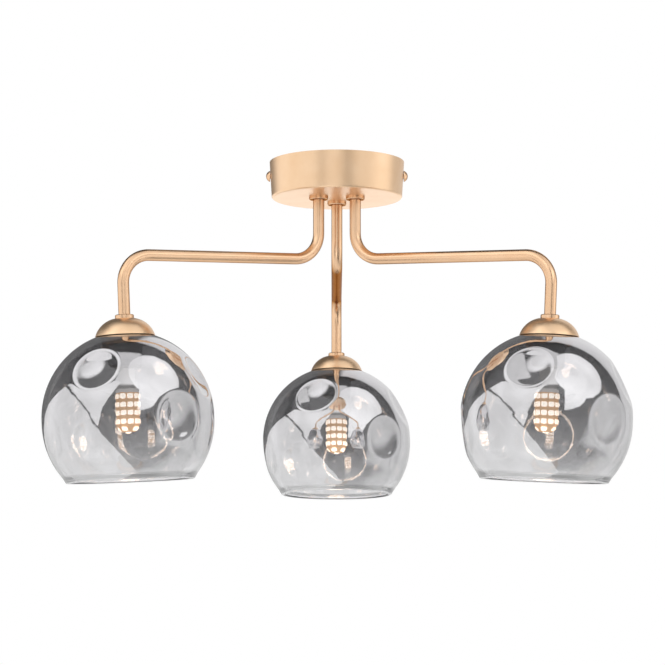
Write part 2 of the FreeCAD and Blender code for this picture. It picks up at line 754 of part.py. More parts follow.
def canopy():
    """Drawn pan with a drafted side, three tube holes and two screw holes."""
    body = new_body("canopy")
    top, low = d.canopy_radius, d.canopy_radius - d.canopy_draft
    corner, wall = d.canopy_corner, d.canopy_wall
    # the corner's arc touches the underside and the sloping side
    slant = root(d.canopy_depth * d.canopy_depth + d.canopy_draft * d.canopy_draft)
    lean_cos, lean_sin = d.canopy_depth / slant, d.canopy_draft / slant
    swing = (1 - lean_sin) / lean_cos
    flat_end = low - corner * swing
    side_x, side_z = low + corner * swing * lean_sin, underside + corner * swing * lean_cos
    inner = corner - wall
    inner_x, inner_z = side_x - wall * lean_cos, side_z + wall * lean_sin
    inner_top = top - wall / lean_cos
    turn_profile(body, [
        (0, underside),
        (flat_end, underside),
        (side_x, side_z, corner),
        (top, 0),
        (inner_top, 0),
        (inner_x, inner_z),
        (flat_end, floor_top, -inner),
        (0, floor_top)])
    hole = new_sketch(body, "XY_Plane", underside)
    draw_circle(hole, d.tube_circle * cosine(d.first_arm_angle),
                d.tube_circle * sine(d.first_arm_angle), d.tube_radius + d.bolting_gap)
    doc.recompute()
    cut = pocket(body, hole, d.canopy_wall, reverse=True)
    polar(body, [cut], Size(360.0) / d.arm_spacing)
    doc.recompute()
    side = new_sketch(body, "YZ_Plane")
    draw_circle(side, 0, -d.side_screw_depth, d.side_screw_radius + d.clear_gap)
    pocket(body, side, d.canopy_radius * 2.2, midplane=True)
    stand(body, "canopy", Place())


def bracket():
    """Strap with turned down ears, a tab for the terminal block and two ceiling screw slots."""
    body = new_body("ceiling_bracket")
    plate, half = d.bracket_plate, d.bracket_width / 2
    # the ears' lower corners stop short of the canopy's sloping inside
    inside = d.canopy_radius - d.canopy_wall - d.canopy_draft * d.ear_drop / d.canopy_depth
    reach = root(inside * inside - half * half) - d.bracket_fit
    bend, inner = d.ear_bend, d.ear_bend - d.bracket_plate
    side = new_sketch(body, "XZ_Plane")
    draw_outline(side, [
        (-reach, -d.ear_drop),
        (plate - reach, -d.ear_drop),
        (plate - reach, -bend),
        (bend - reach, -plate, -inner),
        (reach - bend, -plate),
        (reach - plate, -bend, -inner),
        (reach - plate, -d.ear_drop),
        (reach, -d.ear_drop),
        (reach, -bend),
        (reach - bend, 0, bend),
        (bend - reach, 0),
        (-reach, -bend, bend)])
    pad(body, side, d.bracket_width, midplane=True)
    tab = new_sketch(body, "XY_Plane", -plate)
    draw_box(tab, -d.tab_width / 2, -d.tab_reach, d.tab_width / 2, 0)
    pad(body, tab, plate)
    holes = new_sketch(body, "XY_Plane", -plate)
    draw_circle(holes, 0, 0, d.cable_hole)
    for direction in (-1, 1):
        draw_slot(holes, d.slot_spacing / 2 * direction, 0, d.slot_travel / 2, d.slot_radius)
    draw_circle(holes, d.earth_x, 0, d.earth_screw_radius + d.thread_gap)
    draw_circle(holes, block_screw_x, block_screw_y, d.block_screw_radius + d.thread_gap)
    doc.recompute()
    pocket(body, holes, plate, reverse=True)
    ears = new_sketch(body, "YZ_Plane")
    draw_circle(ears, 0, -d.side_screw_depth, d.side_screw_radius + d.thread_gap)
    pocket(body, ears, reach * 2.2, midplane=True)
    stand(body, "ceiling_bracket", Place())


def side_screw(side, turn):
    """Domed screw through the canopy's side into an ear, its axis along x."""
    top = d.canopy_radius - d.canopy_draft * (d.side_screw_depth - d.side_head_radius) / d.canopy_depth
    head_x = top + d.bolting_gap
    dome = (d.side_head_radius * d.side_head_radius + d.side_head_height * d.side_head_height) / (
        d.side_head_height * 2)
    points = [(0, -d.side_screw_length),
              (d.side_screw_radius, -d.side_screw_length),
              (d.side_screw_radius, 0),
              (d.side_head_radius, 0),
              (0, d.side_head_height, dome)]
    direction = 1 if turn == 0 else -1
    place = Place(head_x * direction, 0, -d.side_screw_depth, turn, 90)
    turned_piece(side + "_canopy_screw", points, place)


block_middle = -(d.block_start + d.block_length / 2)
block_top = -d.bracket_plate
block_low = block_top - d.block_height
pole_z = -d.flex_level
pole_reach = d.pole_half + d.pole_fit
block_screw_x = d.pole_spacing / 2
block_screw_y = block_middle


def pole_x(number):
    return d.pole_spacing * number


def terminals():
    """Three pole block with brass inserts, their clamping screws and the block's own screw."""
    block = new_body("terminal_block")
    front = new_sketch(block, "XY_Plane", block_low)
    draw_box(front, -d.block_width / 2, block_middle - d.block_length / 2,
             d.block_width / 2, block_middle + d.block_length / 2)
    pad(block, front, d.block_height)
    channels = new_sketch(block, "XZ_Plane")
    for number in (-1, 0, 1):
        x = pole_x(number)
        draw_box(channels, x - pole_reach, pole_z - pole_reach, x + pole_reach, pole_z + pole_reach)
    doc.recompute()
    pocket(block, channels, d.canopy_radius * 2, midplane=True)
    access = new_sketch(block, "XY_Plane", block_low)
    for number in (-1, 0, 1):
        for end in (-1, 1):
            draw_circle(access, pole_x(number), block_middle + d.block_length / 4 * end,
                        d.clamp_radius + d.pole_fit)
    doc.recompute()
    pocket(block, access, pole_z - pole_reach - block_low, reverse=True)
    mount = new_sketch(block, "XY_Plane", block_low)
    draw_circle(mount, block_screw_x, block_screw_y, d.block_screw_radius + d.pole_fit)
    doc.recompute()
    pocket(block, mount, d.block_height, reverse=True)
    stand(block, "terminal_block", Place())

    inserts, screws = [], []
    length = d.block_length - 2
    for number in (-1, 0, 1):
        x = pole_x(number)
        bar = loose_box(x - d.pole_half, block_middle - length / 2, pole_z - d.pole_half,
                        d.pole_half * 2, length, d.pole_half * 2)
        bore = loose_cylinder(x, block_middle - length, pole_z, d.pole_bore, length * 2, 90, 90)
        inserts.append(cut_away(bar, bore))
        for end in (-1, 1):
            y = block_middle + d.block_length / 4 * end
            screws.append(loose_cylinder(x, y, block_low + 1, d.clamp_radius,
                                         pole_z - d.pole_half - block_low - 1))
    together("terminal_inserts", inserts, Place())
    together("terminal_screws", screws, Place())

    head = d.block_screw_radius * 1.8
    turned_piece("block_screw", [
        (0, block_low - 1.6),
        (head, block_low - 1.6),
        (head, block_low),
        (d.block_screw_radius, block_low),
        (d.block_screw_radius, 0),
        (0, 0)], Place(block_screw_x, block_screw_y))


def earth():
    """Earth wire from a tag under the left arm's nut to a tag under the bracket's earth screw."""
    tag_low = -d.bracket_plate - d.earth_tag_plate
    turned_piece("earth_screw", [
        (0, tag_low - d.earth_head_height),
        (d.earth_head_radius, tag_low - d.earth_head_height),
        (d.earth_head_radius, tag_low),
        (d.earth_screw_radius, tag_low),
        (d.earth_screw_radius, 0),
        (0, 0)], Place(d.earth_x, 0))

    left = arm_angle(1)
    tube_x, tube_y = d.tube_circle * cosine(left), d.tube_circle * sine(left)
    wire_x = d.earth_wire_x
    half = Size(2.0)
    low_tag = joined([
        loose_cylinder(tube_x, tube_y, floor_top, d.washer_radius, d.washer_height),
        loose_box(wire_x - half, tube_y - half, floor_top, tube_x - wire_x, half * 2, d.washer_height)])
    hole = loose_cylinder(tube_x, tube_y, floor_top - 1, d.tube_radius + d.bolting_gap,
                          d.washer_height + 2)
    top_tag = joined([
        loose_cylinder(d.earth_x, 0, tag_low, d.earth_head_radius + 0.6, d.earth_tag_plate),
        loose_box(wire_x - half, tube_y - half, tag_low, half * 2, -tube_y + half, d.earth_tag_plate),
        loose_box(wire_x - half, -half, tag_low, d.earth_x - wire_x, half * 2, d.earth_tag_plate)])
    top_hole = loose_cylinder(d.earth_x, 0, tag_low - 1, d.earth_screw_radius + d.thread_gap,
                              d.earth_tag_plate + 2)
    wire = loose_cylinder(wire_x, tube_y, floor_top + d.washer_height / 2, d.earth_wire_radius,
                          tag_low + d.earth_tag_plate / 2 - floor_top - d.washer_height / 2)
    stand(joined([cut_away(low_tag, hole), cut_away(top_tag, top_hole), wire]), "earth_wire", Place())


def flex(arm, number):
    """Flat flex from the terminal block down inside the tube to the lampholder."""
    angle = math.radians(arm_angle(number).value)
    out = V(math.cos(angle), math.sin(angle), 0)
    fall = math.radians(d.run_fall.value)
    run = out * math.cos(fall) - V(0, 0, math.sin(fall))
    drop = V(0, 0, -math.cos(fall)) - out * math.sin(fall)
    top = out * d.tube_circle.value
    pole = {"left": -1, "rear": 0, "right": 1}[arm]
    entry = V(pole_x(pole).value, -d.block_start.value, -d.flex_level.value)
    across = V(top.x, top.y, entry.z)
    # a flex that arrives aslant stops where its leading corner meets the block
    slant = abs((entry - across).normalize().x)
    entry.y += d.flex_width.value / 2 * slant + d.clear_gap.value
    corner = V(corner_x.value * out.x, corner_x.value * out.y, corner_z.value)
    foot = corner + drop * (d.drop_length - holder_low - d.holder_height - d.bolting_gap).value
    corners = [entry, across, top - V(0, 0, d.run_depth.value), corner, foot]
    bends = [d.flex_bend.value, d.bend_radius.value, d.bend_radius.value]
    edges, last = [], corners[0]
    for before, here, after, radius in zip(corners, corners[1:], corners[2:], bends):
        into, away = (here - before).normalize(), (after - here).normalize()
        setback = radius * math.tan(into.getAngle(away) / 2)
        start, end = here - into * setback, here + away * setback
        inward = (away - into).normalize()
        to_arc = math.hypot(setback, radius) - radius
        edges.append(Part.makeLine(last, start))
        edges.append(Part.Arc(start, here + inward * to_arc, end).toShape())
        last = end
    edges.append(Part.makeLine(last, corners[-1]))
    spine = Part.Wire(edges)
    heading = (corners[1] - corners[0]).normalize()
    side = heading.cross(V(0, 0, 1)) * (d.flex_width.value / 2)
    rise = V(0, 0, d.flex_height.value / 2)
    section = Part.makePolygon([entry + side + rise, entry - side + rise, entry - side - rise,
                                entry + side - rise, entry + side + rise])
    thing = doc.addObject("Part::Feature", arm + "_flex")
    thing.Shape = spine.makePipeShell([section], True, False)
    thing.Label = arm + "_flex"


# ---- build and export -------------------------------------------------------------------------

NODES = ["canopy", "ceiling_bracket", "left_canopy_screw", "right_canopy_screw", "terminal_block",
         "terminal_inserts", "terminal_screws", "block_screw", "earth_screw", "earth_wire"]
ARM_NODES = ["arm_tube", "top_collar", "top_nut", "low_collar", "cup", "cup_nut", "sleeve", "gasket",
             "shade_ring", "glass_shade", "lampholder", "contacts", "lamp_base", "lamp_pins",
             "lamp_board", "flex"]

canopy()
bracket()
side_screw("right", 0)
side_screw("left", 180)
terminals()
earth()
for number, arm in enumerate(ARMS):
    place = pendant_place(number)
    arm_tube(arm, number)
    canopy_fixings(arm, number)
    cup_pieces(arm, place)
    seat_pieces(arm, place)
    glass_shade(arm, number, place)
    lampholder(arm, place)
    lamp(arm, place)
    flex(arm, number)
doc.recompute()

for thing in doc.Objects:
    if "Invalid" in thing.State or "Error" in thing.State:
        raise RuntimeError("%s did not compute: %s" % (thing.Label, thing.State))

NODES += ["%s_%s" % (arm, name) for arm in ARMS for name in ARM_NODES]
os.makedirs("parts", exist_ok=True)
for node in NODES:
    thing = doc.getObjectsByLabel(node)[0]
    if not thing.Shape.isValid() or not thing.Shape.Solids:
        raise RuntimeError("%s is not a valid solid" % node)
    thing.Shape.exportStep("parts/%s.step" % node)
print(len(NODES), "nodes")
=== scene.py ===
import json
import math
from collections import namedtuple

import bpy
import numpy as np
from mathutils import Matrix, Vector


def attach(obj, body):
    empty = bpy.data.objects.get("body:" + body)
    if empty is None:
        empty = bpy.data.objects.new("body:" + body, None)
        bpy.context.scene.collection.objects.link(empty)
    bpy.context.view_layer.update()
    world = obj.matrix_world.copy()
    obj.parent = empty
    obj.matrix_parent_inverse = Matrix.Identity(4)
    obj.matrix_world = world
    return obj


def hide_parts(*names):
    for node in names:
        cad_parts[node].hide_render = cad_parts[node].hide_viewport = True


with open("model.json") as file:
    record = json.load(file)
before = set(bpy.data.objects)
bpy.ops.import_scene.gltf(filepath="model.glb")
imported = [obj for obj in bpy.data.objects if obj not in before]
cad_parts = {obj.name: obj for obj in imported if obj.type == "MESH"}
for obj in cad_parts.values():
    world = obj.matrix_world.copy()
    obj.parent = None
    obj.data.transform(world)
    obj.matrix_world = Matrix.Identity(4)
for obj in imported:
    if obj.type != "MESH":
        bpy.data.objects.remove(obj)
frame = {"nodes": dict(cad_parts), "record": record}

bl_info = {
    "name": "Dimpled globe ceiling light",
    "version": (1, 0, 0),
    "blender": (4, 5, 0),
    "location": "View3D > Sidebar > Ceiling light",
    "description": "Finishes and detailed pieces for a semi flush ceiling light",
    "category": "Add Mesh",
}

MM = 0.001
ARMS = ("rear", "left", "right")
ARM_ANGLES = {"rear": 90.0, "left": 210.0, "right": 330.0}

# The sizes of the globe and the lamp are in millimetres and repeat the solids' own, so that each
# piece lies where the solid that it replaces lies. Only the lip and the chips differ: they are a
# little larger and rounder.

# Globe, about the centre of its upper half
GLOBE_RADIUS = 72.8
GLOBE_WALL = 2.5
GLOBE_BAND = 3.8
GLOBE_RIM = 52.6
GLOBE_HOLE = 15.0
LIP_HEIGHT = 3.4
LIP_SWELL = 0.8
LIP_BOW = -0.8          # how far the half round edge stands out, in halves of the wall; up is plus
LIP_STEPS = 8
HOLE_BOW = 0.4
HOLE_STEPS = 4

# Vapour on the glass, between rim and top: share of the globe's height, and share of light that it
# mirrors there
MIRROR_MIDDLE = ((0.2, 0.5), (0.42, 0.68))

# Dimples, each with its azimuth from the side that faces the camera and its height above the
# equator, in degrees
DENT_RADIUS = 20.0
DENT_DEPTH = 6.0
UPPER_DENTS = ((-20, 33), (75, 26), (162, 31), (-110, 29))
LOWER_DENTS = ((41, -2), (-100, -9), (113, -11), (172, -9), (-146, -12))
NO_WALL = 1000.0        # distance that stands for a miss where a ray passes a dimple by

# Pendant, heights above the rim of the metal cup
CUP_MOUTH = 24.4
RING_JOINT = -4.0
SEAT_GAP = 0.3

# Lamp board and its chips, heights above the rim of the metal cup
AXIS = 0.01             # smallest ring, round the axis
BOARD_TOP = -45.0
BOARD_LOW = -76.2
BOARD_FLAT = 9.6
BOARD_SIDES = 10
BOARD_CORNER = BOARD_FLAT / math.cos(math.pi / BOARD_SIDES)
CAP_HEIGHT = 3.4
CAP_EDGE = 1.4
CAP_RINGS = 3
ROWS = 4
ROW_START = 6.4
ROW_PITCH = 7.1
NOSE_HEIGHT = 5.5
NOSE_RADIUS = 5.4
NOSE_CHIPS = 5
CHIP_WIDTH = 5.2
CHIP_DEPTH = 4.4
CHIP_HEIGHT = 0.6
CHIP_SWELL = 0.5
CHIP_SIDES = 24
BOARD_PROFILE = (
    (AXIS, BOARD_TOP),
    (BOARD_CORNER - CAP_EDGE, BOARD_TOP),
    (BOARD_CORNER, BOARD_TOP - CAP_EDGE),
    (BOARD_CORNER, BOARD_TOP - CAP_HEIGHT),
    (BOARD_CORNER, BOARD_LOW + 0.3),
    (BOARD_CORNER - 0.4, BOARD_LOW),
    (NOSE_RADIUS + 0.5, BOARD_LOW - NOSE_HEIGHT + 0.4),
    (NOSE_RADIUS, BOARD_LOW - NOSE_HEIGHT),
    (AXIS, BOARD_LOW - NOSE_HEIGHT),
)

# Camera, fitted to the photograph: place in millimetres, upward pitch in degrees, clipping in metres
PHOTO_WIDTH = 665
FOCAL_PIXELS = 2118.0
CAMERA_PLACE = (-4.0, -1892.7, -372.0)
CAMERA_PITCH = 6.54
CLIP_START = 0.05
CLIP_END = 50.0

# Floor, in metres
FLOOR_SIZE = 80.0
FLOOR_HEIGHT = -2.4

# Lamps that no reflection shows: place, the point they face, size, in metres, and the setting that
# holds their power
SOFT_LAMPS = (
    ("key_panel", (-1.4, -1.6, 0.2), (0, 0, -0.15), (0.9, 1.2), "key_power"),
    ("fill_panel", (1.6, -1.3, -0.1), (0, 0, -0.15), (0.8, 1.2), "fill_power"),
)

# Panels that light only the metal pieces, and that only they reflect: turn from the front and width,
# in degrees, height of the middle and of the panel, in metres, and brightness, where 1 is white
METAL_PANELS = (
    ("metal_front_panel", -5.0, 35.0, -0.35, 4.1, 1.0),
    ("metal_right_panel", 68.0, 80.0, -0.3, 2.8, 0.7),
    ("metal_left_panel", -82.0, 104.0, -0.3, 3.0, 0.27),
    ("metal_high_panel", -60.0, 80.0, 1.9, 2.4, 0.5),
    ("metal_back_panel", 180.0, 70.0, -0.35, 0.9, 0.5),
)
METAL_PANEL_DISTANCE = 1.6
METAL_PANEL_AIM = (0, 0, -0.1)
# The one above the bracket and fittings, in metres and watts
OVERHEAD_PLACE = (0, 0.3, 1.6)
OVERHEAD_SIZE = (3.2, 3.2)
OVERHEAD_POWER = 20.0

# Studio that the glass mirrors: for each panel the planes (x, y, z, offset) that bound its
# directions, the softness of its edges, and its brightness, where 1 is white. -Y is towards the
# camera.
STUDIO_PANELS = (
    # big panel and floor to the left and below
    (((-0.746, 0.185, -0.641, 0.416), (0.0, -0.5, -0.85, -0.44)), 0.015, 0.95),
    # upper left panel, a narrow gap away from it
    (((0.746, -0.185, 0.641, -0.385), (-0.765, 0.475, 0.436, 0.0),
      (-0.432, -0.582, -0.688, 0.0)), 0.015, 1.0),
    # small overhead panel on the left
    (((-0.48, -0.30, 0.825, 0.965),), 0.02, 0.95),
    # two overhead panels on the right
    (((0.53, -0.37, 0.763, 0.86),), 0.012, 1.1),
    (((0.30, -0.75, 0.59, 0.86), (0.9, 0.2, -0.1, 0.07)), 0.012, 1.1),
    # between left and right, overhead
    (((0.0, -1.0, 0.0, -0.03), (0.0, 0.0, 1.0, 0.63),
      (-1.0, 0.0, 0.0, -0.2), (1.0, 0.0, 0.0, -0.25)), 0.03, 0.8),
    # right side panel and the floor under it
    (((0.90, 0.05, -0.43, 0.75), (0.0, 0.0, 1.0, -0.5)), 0.1, 0.62),
    (((0.6, 0.3, -0.74, 0.9),), 0.1, 0.7),
    (((0.12, 0.2, -0.972, 0.88),), 0.06, 0.8),
    # backdrop: upper right, near the floor, and level with the light
    (((0.0, 1.0, 0.0, 0.43), (1.0, 0.0, 0.0, 0.05)), 0.05, 0.8),
    (((0.0, 0.7, -0.7, 0.72),), 0.06, 1.0),
    (((0.0, 1.0, 0.0, 0.55),), 0.1, 0.15),
)
# No panel is evenly bright: as the noise goes between its two values, so does the panel's share of
# its level
PANEL_DRIFT_SCALE = 1.6
PANEL_DRIFT_NOISE = (0.3, 0.7)
PANEL_DRIFT_SHARE = (0.8, 1.08)

# Finishes of the fittings and the insulation: two close colours that the surface drifts between, the
# size of that grain in millimetres, and how deep it is
Finish = namedtuple("Finish", "name colour other roughness grain_mm bump_mm")
FITTING_FINISHES = {
    # zinc plated sheet steel: cool light grey, a soft shine with a 2 mm spangle
    "zinc_steel": Finish("zinc_plated_steel", "b9babb", "c6c7c6", 0.35, 2.0, 0.05),
    # nickel plated pins and contacts: warm, bright and smooth
    "nickel": Finish("nickel_plate", "cfcbc2", "d8d5cd", 0.2, 1.0, 0.01),
    # turned brass inserts: yellow, with fine tool marks that spread the shine
    "brass": Finish("turned_brass", "c9a860", "d4b671", 0.3, 1.5, 0.05),
}
INSULATION_FINISHES = {
    # glazed ceramic lampholder: cream, with a hard shine over slight hollows
    "ceramic": Finish("glazed_ceramic", "eae8e0", "f2f0ea", 0.25, 6.0, 0.05),
    # moulded silicone washer: milky grey and rather dull
    "silicone": Finish("clear_silicone", "dcdcd8", "e6e6e2", 0.45, 4.0, 0.05),
    # moulded nylon block: off white and rather dull
    "nylon": Finish("moulded_nylon", "e8e8e4", "f0f0ed", 0.45, 3.0, 0.05),
    # extruded PVC sheath: pale grey, faintly shiny
    "cable": Finish("pvc_sheath", "dadad6", "e4e4e0", 0.4, 5.0, 0.05),
    # extruded PVC earth wire: patches of green and yellow, 6 mm long
    "earth_cable": Finish("earth_insulation", "5a8a2f", "c9c03a", 0.4, 6.0, 0.05),
}
PLATED_SLOT = "copper_plate"


# ---- colours and nodes ------------------------------------------------------------------------

def linear(hex_colour):
    """Scene linear RGBA of an sRGB colour written as rrggbb."""
    parts = [int(hex_colour[i:i + 2], 16) / 255 for i in (0, 2, 4)]
    return [c / 12.92 if c <= 0.04045 else ((c + 0.055) / 1.055) ** 2.4 for c in parts] + [1.0]


def grey(value):
    """Opaque grey of this scene linear value."""
    return (value, value, value, 1.0)


def texture_scale(size_mm):
    """Scale that gives a pattern on Object coordinates this real size."""
    return 1 / (size_mm * MM)


def add_node(tree, kind, sockets=None, stops=(), **settings):
    """Add a node. A socket takes a value, or the output that feeds it; stops are the positions and
    colours of a colour ramp; settings are the node's own."""
    node = tree.nodes.new(kind)
    for name, value in settings.items():
        setattr(node, name, value)
    for name, value in (sockets or {}).items():
        if isinstance(value, bpy.types.NodeSocket):
            tree.links.new(value, node.inputs[name])
        else:
            node.inputs[name].default_value = value
    while stops and len(node.color_ramp.elements) < len(stops):
        node.color_ramp.elements.new(0.5)
    for number, (position, colour) in enumerate(stops):
        node.color_ramp.elements[number].position = position
        node.color_ramp.elements[number].color = colour
    return node


def new_material(name):
    """An empty node material and its tree."""
    material = bpy.data.materials.new(name)
    material.use_nodes = True
    material.node_tree.nodes.clear()
    return material, material.node_tree


# ---- settings ---------------------------------------------------------------------------------

class PlateSettings(bpy.types.PropertyGroup):
    """Rose gold plating of the canopy, tubes, collars, cups and screws"""
    brushed_colour: bpy.props.FloatVectorProperty(
        name="Brushed plate", description="Colour of the canopy and the cups",
        subtype="COLOR", size=4, min=0, max=1, default=linear("efcaa3"))
    brushed_cloud: bpy.props.FloatVectorProperty(
        name="Brushed plate, clouds", description="Colour of the clouds in that plate",
        subtype="COLOR", size=4, min=0, max=1, default=linear("f4d2ae"))
    brushed_roughness: bpy.props.FloatProperty(
        name="Brushed roughness", description="How wide the brushed plate spreads a reflection",
        subtype="FACTOR", min=0, max=1, default=0.36)
    satin_colour: bpy.props.FloatVectorProperty(
        name="Satin plate", description="Colour of the tubes, collars and screws",
        subtype="COLOR", size=4, min=0, max=1, default=linear("e9c09a"))
    satin_cloud: bpy.props.FloatVectorProperty(
        name="Satin plate, clouds", description="Colour of the clouds in that plate",
        subtype="COLOR", size=4, min=0, max=1, default=linear("eec8a4"))
    satin_edge: bpy.props.FloatVectorProperty(
        name="Satin plate, edges", description="Tint where the satin plate turns away",
        subtype="COLOR", size=4, min=0, max=1, default=linear("85604a"))
    satin_roughness: bpy.props.FloatProperty(
        name="Satin roughness", description="How wide the satin plate spreads a reflection",
        subtype="FACTOR", min=0, max=1, default=0.28)
    cloud_size: bpy.props.FloatProperty(
        name="Cloud size", description="Size of the clouds in the plate's tint",
        unit="LENGTH", min=0.001, default=18 * MM)
    mark_size: bpy.props.FloatProperty(
        name="Mark size", description="Length of the marks that brushing and polishing leave",
        unit="LENGTH", min=0.00005, default=0.2 * MM)


class GlobeSettings(bpy.types.PropertyGroup):
    """Dimpled globes of smoked mirror glass"""
    dent_roll: bpy.props.FloatProperty(
        name="Dimple edge", description="How far the edge of a dimple rolls over",
        unit="LENGTH", min=0.0005, max=0.015, default=2 * MM)
    columns: bpy.props.IntProperty(
        name="Columns", description="Faces round a globe", min=24, max=512, default=192)
    rows: bpy.props.IntProperty(
        name="Rows", description="Faces down each side of the glass", min=16, max=256, default=96)
    rim_tint: bpy.props.FloatVectorProperty(
        name="Tint at the rim", description="Colour that the glass passes and mirrors low down",
        subtype="COLOR", size=4, min=0, max=1, default=linear("f0f0f1"))
    top_tint: bpy.props.FloatVectorProperty(
        name="Tint at the top", description="Colour that the glass passes and mirrors high up",
        subtype="COLOR", size=4, min=0, max=1, default=linear("eae8eb"))
    rim_mirror: bpy.props.FloatProperty(
        name="Mirror at the rim", description="Share of light that the vapour mirrors at the rim",
        subtype="FACTOR", min=0, max=1, default=0.28)
    top_mirror: bpy.props.FloatProperty(
        name="Mirror at the top", description="Share of light that the vapour mirrors at the top",
        subtype="FACTOR", min=0, max=1, default=0.88)
    wave_size: bpy.props.FloatProperty(
        name="Wave size", description="Length of the waves that blowing leaves in the glass",
        unit="LENGTH", min=0.001, default=9 * MM)


class LampSettings(bpy.types.PropertyGroup):
    """Lit lamps"""
    bead_glow: bpy.props.FloatProperty(
        name="Chip glow", description="Brightness of the chips", min=0, max=50, default=3.2)
    board_glow: bpy.props.FloatProperty(
        name="Board glow", description="Brightness of the board between the chips",
        min=0, max=50, default=1.35)
    # the cap's glow is painted light, standing in for light that hardly reaches it inside the globe
    cap_painted_glow: bpy.props.FloatProperty(
        name="Cap glow", description="Brightness of the cap above the chips",
        min=0, max=50, default=2.0)
    # the base's glow is painted light, standing in for light that hardly reaches it inside the globe
    base_painted_glow: bpy.props.FloatProperty(
        name="Base glow", description="Brightness of the plastic base", min=0, max=50, default=1.2)
    bead_colour: bpy.props.FloatVectorProperty(
        name="Chips", description="Colour of a chip that faces you",
        subtype="COLOR", size=4, min=0, max=1, default=linear("fff7ee"))
    board_colour: bpy.props.FloatVectorProperty(
        name="Board", description="Colour of the board that faces you",
        subtype="COLOR", size=4, min=0, max=1, default=linear("f0c8a0"))


class StudioSettings(bpy.types.PropertyGroup):
    """Floor and studio light"""
    key_power: bpy.props.FloatProperty(
        name="Key lamp", description="Power of the lamp at the front left",
        unit="POWER", min=0, default=32.0)
    fill_power: bpy.props.FloatProperty(
        name="Fill lamp", description="Power of the lamp at the front right",
        unit="POWER", min=0, default=18.0)
    dark_level: bpy.props.FloatProperty(
        name="Dark gaps", description="Brightness of the studio between its panels",
        min=0, max=1, default=0.05)
    floor_lift: bpy.props.FloatProperty(
        name="Floor lift", description="How much the camera sees the floor lifted towards white",
        min=0, max=1, default=0.5)


# ---- materials --------------------------------------------------------------------------------

def rose_gold_plate(name, colours, roughness, edge, settings):
    """Drawn steel plated in pale rose gold. To the eye it is a warm metal with a broad soft shine and
    faint clouds in its tint. The marks of its brushing are finer than a pixel here, and show only in
    how far they spread the shine."""
    roughness_drift = 0.04
    material, tree = new_material(name)
    place = add_node(tree, "ShaderNodeTexCoord").outputs["Object"]
    cloud = add_node(tree, "ShaderNodeTexNoise", {
        "Vector": place, "Scale": texture_scale(settings.cloud_size / MM), "Detail": 3.0})
    tint = add_node(tree, "ShaderNodeValToRGB", {"Fac": cloud.outputs[0]},
                    stops=((0.3, colours[0]), (0.7, colours[1])))
    marks = add_node(tree, "ShaderNodeTexNoise", {
        "Vector": place, "Scale": texture_scale(settings.mark_size / MM), "Detail": 2.0})
    rough = add_node(tree, "ShaderNodeValToRGB", {"Fac": marks.outputs[0]},
                     stops=((0.3, grey(roughness - roughness_drift)),
                            (0.7, grey(roughness + roughness_drift))))
    bump = add_node(tree, "ShaderNodeBump", {
        "Height": marks.outputs[0], "Strength": 0.01, "Distance": 0.1 * MM})
    shader = add_node(tree, "ShaderNodeBsdfPrincipled", {
        "Base Color": tint.outputs[0], "Roughness": rough.outputs[0], "Normal": bump.outputs[0],
        "Metallic": 1.0, "Specular Tint": edge})
    add_node(tree, "ShaderNodeOutputMaterial", {"Surface": shader.outputs[0]})
    return material


def blown_glass_waves(tree, settings):
    """Normal of blown glass, whose slow waves bend the reflections a little."""
    place = add_node(tree, "ShaderNodeTexCoord").outputs["Object"]
    waves = add_node(tree, "ShaderNodeTexNoise", {
        "Vector": place, "Scale": texture_scale(settings.wave_size / MM), "Detail": 2.0})
    bump = add_node(tree, "ShaderNodeBump", {
        "Height": waves.outputs[0], "Strength": 0.15, "Distance": 0.6 * MM})
    return bump.outputs[0]


def smoked_mirror_glass(settings):
    """Blown glass coated with a vapour of grey metal. To the eye it is a half mirror at the top that
    thins out towards the rim, over smoky glass through which the lamp shows."""
    material, tree = new_material("smoked_mirror_glass")
    place = add_node(tree, "ShaderNodeTexCoord").outputs["Object"]
    height = add_node(tree, "ShaderNodeSeparateXYZ", {"Vector": place})
    along = add_node(tree, "ShaderNodeMapRange", {
        "Value": height.outputs["Z"], "From Min": -GLOBE_RIM * MM, "From Max": GLOBE_RADIUS * MM})
    mirrored = ((0.0, settings.rim_mirror), *MIRROR_MIDDLE, (1.0, settings.top_mirror))
    mirror = add_node(tree, "ShaderNodeValToRGB", {"Fac": along.outputs[0]},
                      stops=[(position, grey(share)) for position, share in mirrored])
    tint = add_node(tree, "ShaderNodeValToRGB", {"Fac": along.outputs[0]},
                    stops=((0.0, settings.rim_tint), (1.0, settings.top_tint)))
    shader = add_node(tree, "ShaderNodeBsdfPrincipled", {
        "Base Color": tint.outputs[0], "Metallic": mirror.outputs[0],
        "Normal": blown_glass_waves(tree, settings), "Roughness": 0.0, "IOR": 1.5,
        "Transmission Weight": 1.0})
    add_node(tree, "ShaderNodeOutputMaterial", {"Surface": shader.outputs[0]})
    return material


def clear_blown_glass(settings):
    """The bare inside of the blown glass, where no vapour settled: clear, with faint reflections."""
    material, tree = new_material("clear_blown_glass")
    shader = add_node(tree, "ShaderNodeBsdfPrincipled", {
        "Base Color": linear("fafafa"), "Normal": blown_glass_waves(tree, settings),
        "Roughness": 0.0, "IOR": 1.5, "Transmission Weight": 1.0})
    add_node(tree, "ShaderNodeOutputMaterial", {"Surface": shader.outputs[0]})
    return material


